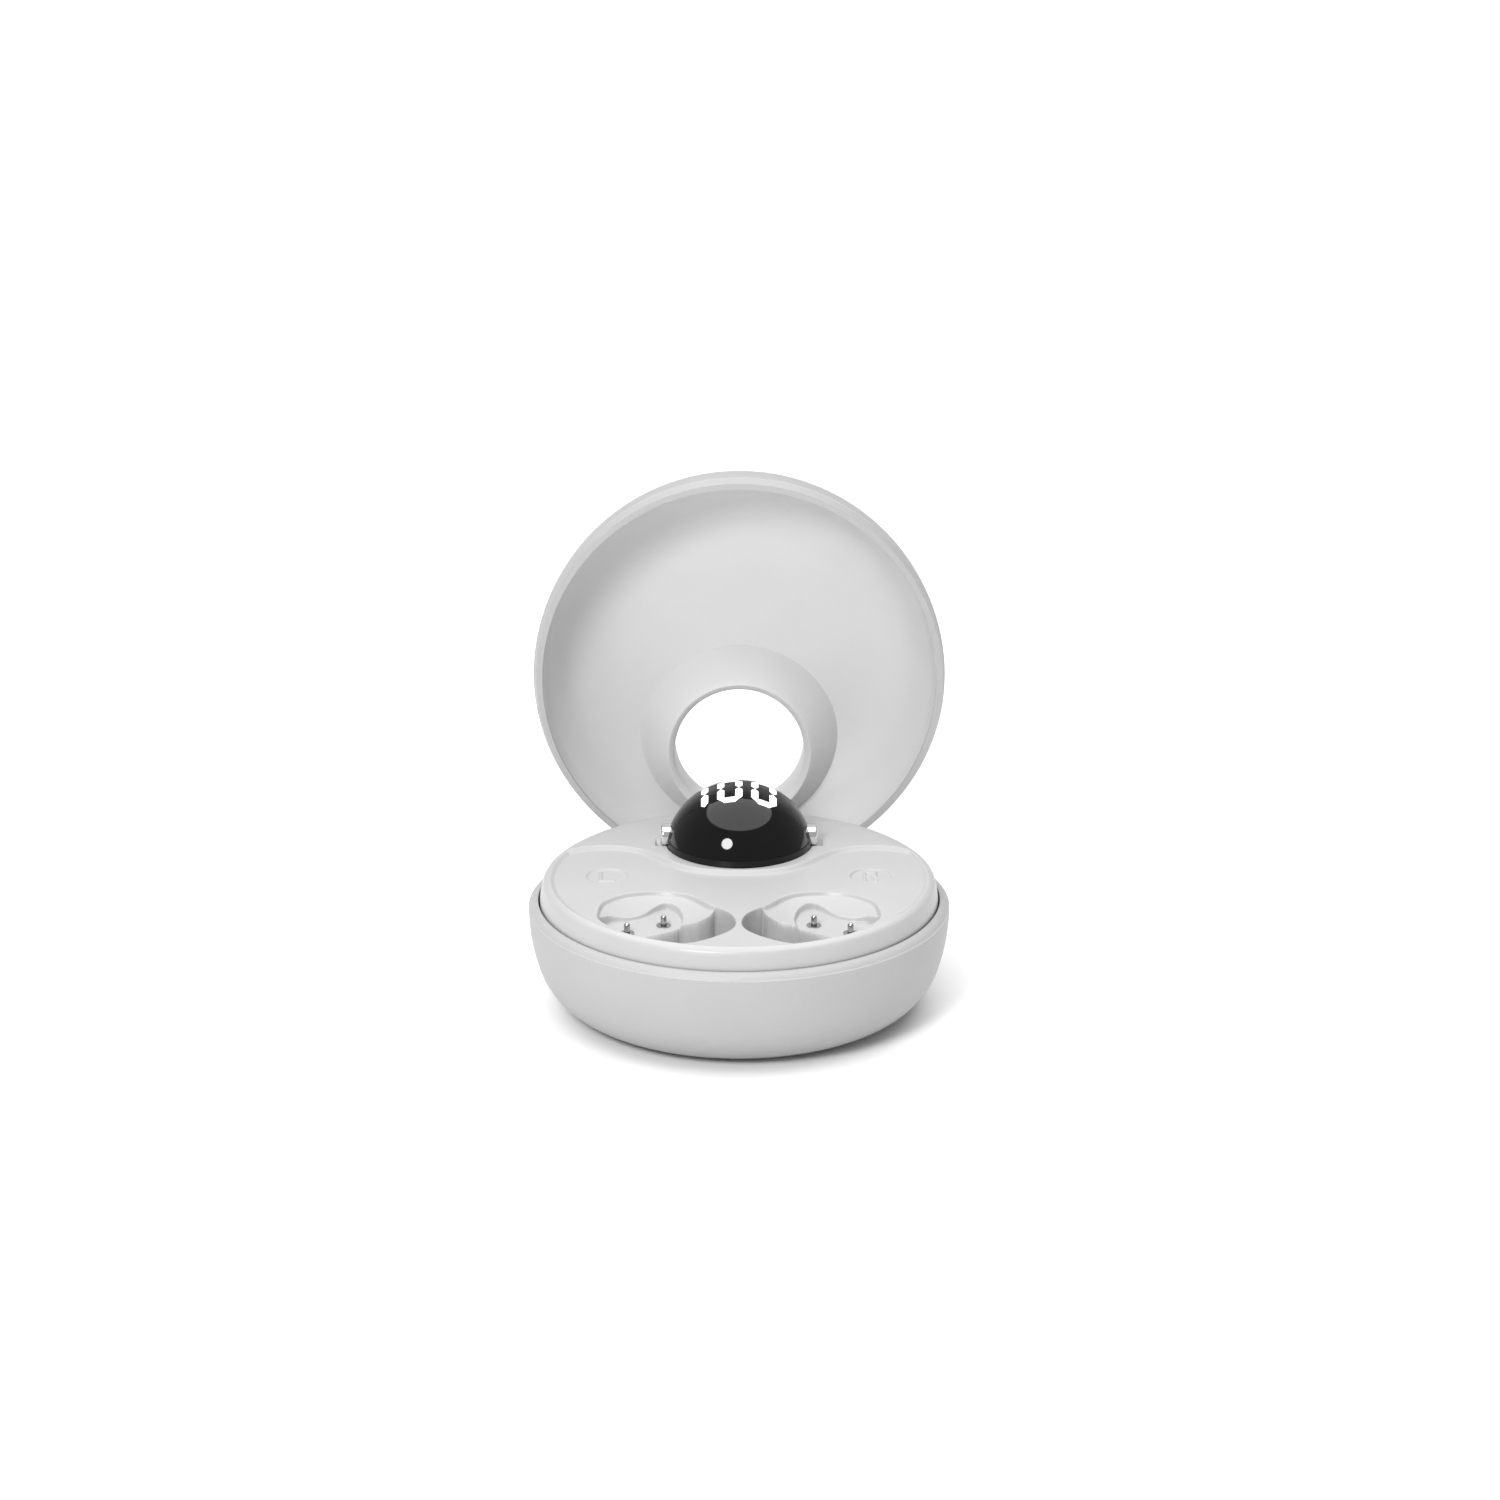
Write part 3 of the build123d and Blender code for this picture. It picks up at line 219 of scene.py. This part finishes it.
# Strokes of the letters: offset from the mark's centre, width, height, turn in degrees.
LETTER_STROKES = {
    -1: [(-0.95, 0.0, STROKE, LETTER_H, 0.0), (0.05, -1.74, 2.4, STROKE, 0.0)],
    1: [(-0.95, 0.0, STROKE, LETTER_H, 0.0), (-0.25, 1.74, 1.4, STROKE, 0.0),
        (-0.25, 0.1, 1.4, STROKE, 0.0), (0.65, 0.92, STROKE, 1.9, 0.0),
        (0.3, -0.9, 2.3, STROKE, -60.0)],
}


def smooth_line(points, closed=False, steps=6):
    """Catmull-Rom line through the points."""
    p = np.array(points, float)
    n = len(p)
    out = []
    for i in range(n if closed else n - 1):
        a, b = p[i], p[(i + 1) % n]
        before = p[(i - 1) % n] if closed or i > 0 else 2 * a - b
        after = p[(i + 2) % n] if closed or i < n - 2 else 2 * b - a
        for t in np.arange(steps) / steps:
            out.append(0.5 * (2 * a + (b - before) * t
                              + (2 * before - 5 * a + 4 * b - after) * t ** 2
                              + (3 * a - before - 3 * b + after) * t ** 3))
    if not closed:
        out.append(p[-1])
    return np.array(out)


def inside_distance(px, py, outline):
    """Distance to a closed outline, negative inside it."""
    tiny = 1e-12                        # keeps a zero-length edge from dividing by zero
    best = np.full(px.shape, np.inf)
    inside = np.zeros(px.shape, bool)
    for (ax, ay), (bx, by) in zip(outline, np.roll(outline, -1, axis=0)):
        ex, ey = bx - ax, by - ay
        t = np.clip(((px - ax) * ex + (py - ay) * ey) / (ex * ex + ey * ey + tiny), 0, 1)
        best = np.minimum(best, (px - ax - t * ex) ** 2 + (py - ay - t * ey) ** 2)
        crossing_x = (bx - ax) * (py - ay) / (by - ay + tiny) + ax
        inside ^= ((ay > py) != (by > py)) & (px < crossing_x)
    distance = np.sqrt(best)
    return np.where(inside, -distance, distance)


def blend(distance, edge):
    """0 at the edge's first distance, 1 at its second, smooth between."""
    start, end = edge
    t = np.clip((distance - start) / (end - start), 0, 1)
    return t * t * (3 - 2 * t)


def bar_distance(x, y, width, height, turn):
    """Distance to a turned bar round the origin, negative inside it."""
    c, s = math.cos(turn), math.sin(turn)
    return np.maximum(np.abs(x * c + y * s) - width / 2, np.abs(y * c - x * s) - height / 2)


def cut_cavity(z, x, y):
    """Sink the left cavity: a round basin, the pad in it, then the deep well in front."""
    west, east, south, north = CAVITY_BOX
    near = (x > west) & (x < east) & (y < north) & (y > south)
    x, y, height = x[near], y[near], z[near]
    opening = inside_distance(x, y, smooth_line(OPENING, closed=True))
    from_centre = np.hypot(x + BASIN_X, y - BASIN_Y)
    cap = BASIN_ARC - np.sqrt(np.maximum(BASIN_ARC ** 2 - from_centre ** 2, 0))
    basin = np.minimum(STEP_Z - BASIN_DEPTH + cap, STEP_Z)
    height = height + (basin - height) * blend(opening, OPENING_EDGE)
    pad = inside_distance(x, y, np.concatenate(
        [smooth_line(PAD_REAR), smooth_line(WELL_PAD_LINE), PAD_FRONT]))
    on_pad = height + (PAD_Z - height) * blend(pad, PAD_EDGE)
    height = np.where(opening < PAD_INSIDE, on_pad, height)
    well = inside_distance(x, y, np.concatenate(
        [smooth_line(WELL_OUTER), smooth_line(WELL_INNER[::-1])]))
    z[near] = height + (WELL_Z - height) * blend(well, WELL_EDGE)


def cut_mark(z, x, y, side):
    """Sink the round side mark, leaving its letter proud."""
    x, y = x - side * MARK_X, y - MARK_Y
    letter = np.full(x.shape, np.inf)
    for dx, dy, width, height, turn in LETTER_STROKES[side]:
        stroke = bar_distance(x - dx, y - dy, width, height, math.radians(turn))
        letter = np.minimum(letter, stroke)
    disc = np.hypot(x, y) - MARK_R
    z -= MARK_DEPTH * blend(disc, DISC_EDGE) * blend(letter, LETTER_EDGE)


def tray_height(x, y):
    """Height of the tray's surface over each point."""
    z = np.interp(np.hypot(x, y), *zip(*RIM_PROFILE))
    left = smooth_line(S_EDGE)
    s_curve = np.concatenate([left, left[::-1] * (-1, 1)])
    turn = np.radians(np.linspace(RECESS_FROM, RECESS_TO, RECESS_STEPS))
    front = RECESS_R * np.stack([np.cos(turn), np.sin(turn)], 1)
    recess = inside_distance(x, y, np.concatenate([s_curve, front]))
    z += (np.minimum(z, FRONT_Z) - z) * blend(recess, RECESS_EDGE)
    from_dome = y - DOME_Y
    saddle_z = STUD_Z - np.sqrt(np.maximum(STUD_R ** 2 - from_dome ** 2, 0))
    for side in (-1, 1):
        cut_cavity(z, -side * x, y)
        cut_mark(z, x, y, side)
        saddle = (np.abs(x - side * STUD_X) < STUD_HALF) & (np.abs(from_dome) < STUD_R)
        z = np.where(saddle, np.minimum(z, saddle_z), z)
    z = np.where(np.hypot(x, from_dome) < BEZEL_R - BEZEL_FIT, BEZEL_SEAT_Z, z)
    return np.where((np.abs(x) < SLOT_HALF) & (y > SLOT_FRONT_Y), SLOT_Z, z)


RINGS, SPOKES = 236, 1440
CENTRE_R, EDGE_R = 0.12, 29.68
SKIRT = [(29.82, 3.62), (30.02, 2.9), (30.18, 2.0), (30.28, 1.2), (30.3, -1.5), (28.9, -1.5)]

angle = np.linspace(0, 2 * math.pi, SPOKES, endpoint=False)
cos_a, sin_a = np.cos(angle), np.sin(angle)
radii = np.linspace(CENTRE_R, EDGE_R, RINGS)[:, None]
ring_x, ring_y = radii * cos_a, radii * sin_a
ring_z = tray_height(ring_x.ravel(), ring_y.ravel()).reshape(ring_x.shape)
rings = [np.stack(ring, 1) for ring in zip(ring_x, ring_y, ring_z)]
open_rear = (np.abs(cos_a * SLOT_R) < SLOT_HALF) & (sin_a > 0)
for skirt_r, skirt_z in SKIRT:
    height = np.where(open_rear, SLOT_Z, skirt_z)
    rings.append(np.stack([skirt_r * cos_a, skirt_r * sin_a, height], 1))
verts = np.concatenate(rings)
verts[:, 2] += CREASE_HEIGHT
idx = np.arange(len(verts)).reshape(len(rings), SPOKES)
nxt = np.roll(idx, -1, axis=1)
faces = np.stack([idx[:-1], idx[1:], nxt[1:], nxt[:-1]], -1).reshape(-1, 4).tolist()
centre = list(range(SPOKES))            # one face closes the innermost ring

mesh = bpy.data.meshes.new("tray_surface")
mesh.from_pydata((verts * MM).tolist(), [], faces + [centre])
mesh.validate()
shade_smooth(mesh)
tray_top = bpy.data.objects.new("tray_surface", mesh)
bpy.context.collection.objects.link(tray_top)
mesh.materials.append(TRAY_PAINTED_LIGHT)
work = bmesh.new()
work.from_mesh(mesh)
bmesh.ops.recalc_face_normals(work, faces=work.faces)
work.to_mesh(mesh)
work.free()
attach(tray_top, "case")
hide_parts("charging_tray")

# ---------------------------------------------------------------- studio
FLOOR_SIZE, FLOOR_GAP = 6.0, 0.05 * MM  # metres; the gap keeps the floor off the base's face
WORLD_STRENGTH = 0.42
OVERHEAD_OVER = Vector((0.0, 0.35, 0.0))
OVERHEAD_HEIGHT, OVERHEAD_SIZE, OVERHEAD_WATTS = 1.8, 3.0, 58.0
KEY_PLACE, KEY_TARGET = Vector((-0.26, -0.62, 0.50)), Vector((0.0, 0.008, 0.030))
KEY_SIZE, KEY_WATTS = 0.24, 4.4

rest_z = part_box("base_shell")[0][2]
bpy.ops.mesh.primitive_plane_add(size=FLOOR_SIZE, location=(0, 0, rest_z - FLOOR_GAP))
floor = bpy.context.object
floor.name = "studio_floor"
floor.data.materials.append(material("floor_white", grey(0.88), 0.7, tint=0.005))

world = bpy.data.worlds.new("studio")
bpy.context.scene.world = world
world.use_nodes = True
background = world.node_tree.nodes["Background"]
background.inputs["Color"].default_value = (1, 1, 1, 1)
background.inputs["Strength"].default_value = WORLD_STRENGTH


def disk_light(name, place, aim, size, watts):
    """Round area light at place, facing aim."""
    data = bpy.data.lights.new(name, "AREA")
    data.energy = watts
    data.shape = "DISK"
    data.size = size
    lamp = bpy.data.objects.new(name, data)
    bpy.context.collection.objects.link(lamp)
    lamp.location = place
    lamp.rotation_euler = (aim - place).to_track_quat("-Z", "Y").to_euler()


disk_light("overhead", OVERHEAD_OVER + Vector((0, 0, OVERHEAD_HEIGHT)), OVERHEAD_OVER,
           OVERHEAD_SIZE, OVERHEAD_WATTS)
disk_light("key_left", KEY_PLACE, KEY_TARGET, KEY_SIZE, KEY_WATTS)

# ---------------------------------------------------------------- camera
# The camera looks straight at the front from above. It stands a little to the right of the
# base's axis, so that the case sits left of the picture's middle, as in the photograph.
BODY_R = 32.0 * MM
ELEVATION = math.radians(19.83)
DISTANCE = 30.0 * BODY_R
AIM_BACK, AIM_UP = 0.2447 * BODY_R, 0.6893 * BODY_R    # behind the axis, above the crease
CAMERA_RIGHT = 0.05232 * BODY_R
FOCAL_SHARE = 4.205                     # focal length over the picture's width
SENSOR_MM, CLIP_START = 36.0, 0.01

cam_data = bpy.data.cameras.new("camera")
cam_data.sensor_width = SENSOR_MM
cam_data.lens = FOCAL_SHARE * SENSOR_MM
cam_data.clip_start = CLIP_START
cam = bpy.data.objects.new("camera", cam_data)
bpy.context.collection.objects.link(cam)
look = Vector((0, math.cos(ELEVATION), -math.sin(ELEVATION)))
aim_point = Vector((CAMERA_RIGHT, AIM_BACK, AIM_UP + CREASE_HEIGHT * MM))
cam.location = aim_point - look * DISTANCE
cam.rotation_euler = look.to_track_quat("-Z", "Y").to_euler()
bpy.context.scene.camera = cam
bpy.context.scene.view_settings.view_transform = "Standard"
